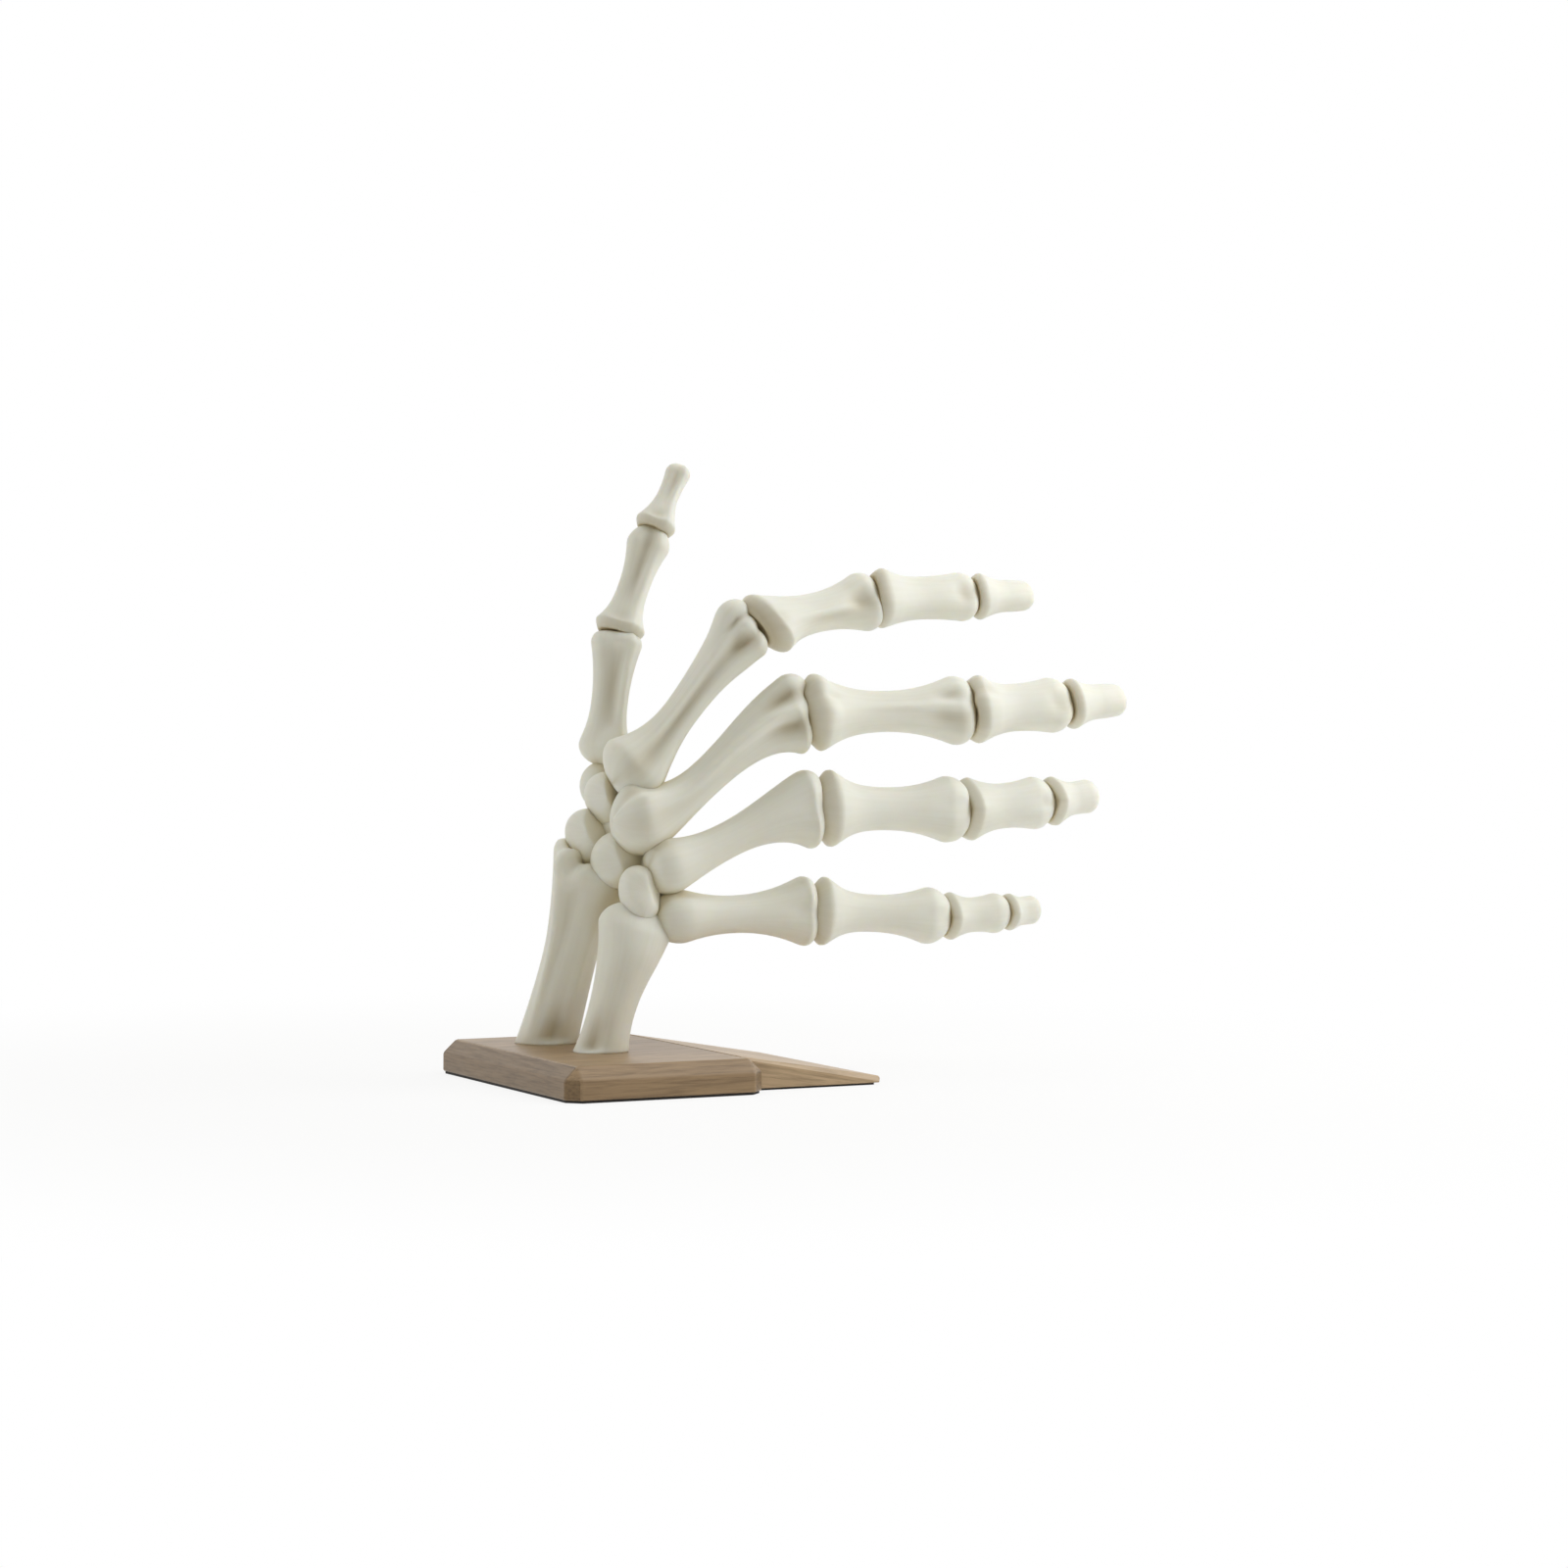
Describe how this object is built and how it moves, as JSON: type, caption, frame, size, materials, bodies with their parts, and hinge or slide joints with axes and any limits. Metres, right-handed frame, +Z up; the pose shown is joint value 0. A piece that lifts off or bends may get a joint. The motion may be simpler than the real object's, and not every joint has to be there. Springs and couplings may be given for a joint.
{
  "type": "skeleton hand bookend",
  "caption": "Skeleton hand standing on its forearm bones on a chamfered wooden board, fingers reaching out sideways over a wedge tongue that keeps the bookend from tipping.",
  "frame": {"origin": "centre of the board in plan, on the underside of the non-slip pad", "axes": "+Z up, +X along the fingers and the wedge tongue, -Y the way the back of the hand faces"},
  "size_m": [0.2305, 0.11, 0.2009],
  "materials": {
    "bone": "cast resin, satin",
    "oak": "planed oak, matte",
    "beech": "turned dowel",
    "rubber": "thin non-slip sheet",
    "steel": "drawn wire"
  },
  "bodies": {
    "root": {"base_board": "oak", "capitate": "bone", "front_dowel": "beech", "hamate": "bone", "hamate_pin": "steel", "index_distal_phalanx": "bone", "index_knuckle_pin": "steel", "index_metacarpal": "bone", "index_middle_phalanx": "bone", "index_middle_pin": "steel", "index_proximal_phalanx": "bone", "index_root_pin": "steel", "index_tip_pin": "steel", "little_distal_phalanx": "bone", "little_knuckle_pin": "steel", "little_metacarpal": "bone", "little_middle_phalanx": "bone", "little_middle_pin": "steel", "little_proximal_phalanx": "bone", "little_root_pin": "steel", "little_tip_pin": "steel", "lunate": "bone", "lunate_pin": "steel", "middle_distal_phalanx": "bone", "middle_knuckle_pin": "steel", "middle_metacarpal": "bone", "middle_middle_phalanx": "bone", "middle_middle_pin": "steel", "middle_proximal_phalanx": "bone", "middle_root_pin": "steel", "middle_tip_pin": "steel", "non_slip_pad": "rubber", "radius": "bone", "radius_screw": "steel", "rear_dowel": "beech", "ring_distal_phalanx": "bone", "ring_knuckle_pin": "steel", "ring_metacarpal": "bone", "ring_middle_phalanx": "bone", "ring_middle_pin": "steel", "ring_proximal_phalanx": "bone", "ring_root_pin": "steel", "ring_tip_pin": "steel", "scaphoid": "bone", "scaphoid_pin": "steel", "thumb_distal_phalanx": "bone", "thumb_knuckle_pin": "steel", "thumb_metacarpal": "bone", "thumb_proximal_phalanx": "bone", "thumb_root_pin": "steel", "thumb_tip_pin": "steel", "trapezium": "bone", "trapezium_pin": "steel", "trapezoid": "bone", "triquetrum": "bone", "triquetrum_pin": "steel", "ulna": "bone", "ulna_screw": "steel", "wedge_tongue": "oak"}
  },
  "joints": []
}
